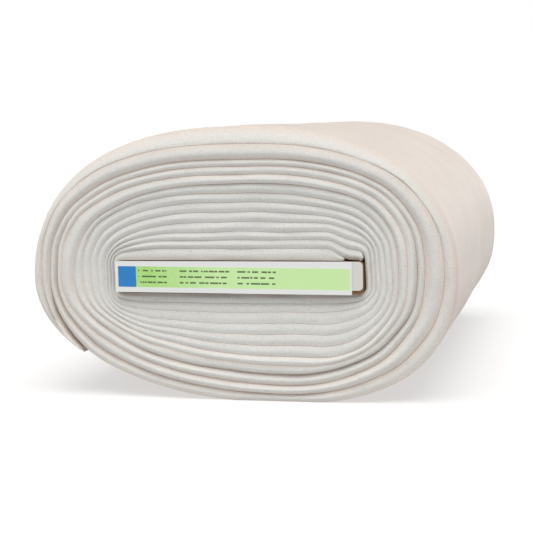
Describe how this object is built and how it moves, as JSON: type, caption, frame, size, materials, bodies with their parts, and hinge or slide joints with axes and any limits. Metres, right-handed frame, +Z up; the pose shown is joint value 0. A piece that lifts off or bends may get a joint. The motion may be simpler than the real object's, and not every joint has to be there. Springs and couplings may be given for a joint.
{
  "type": "roll of quilt batting on a flat board",
  "caption": "Loosely wound oval roll of natural cotton quilt batting on a flat cardboard board, with a plain end label and a loose outer fold.",
  "frame": {"origin": "middle of the foot of the roll's box, on the surface that it rests on", "axes": "+Y along the roll from the labelled end to the far end, +Z up, +X to the right of the labelled end"},
  "size_m": [0.4128, 0.5644, 0.262],
  "materials": {
    "batting": "soft fibrous cotton wadding, natural cream with fine flecks",
    "cardboard": "brown corrugated cardboard",
    "white_card": "white coated card",
    "label_paper": "white label paper with a plain green band"
  },
  "bodies": {
    "root": {"batting": "batting", "core_board": "cardboard", "end_card": "white_card", "end_label": "label_paper"}
  },
  "joints": []
}
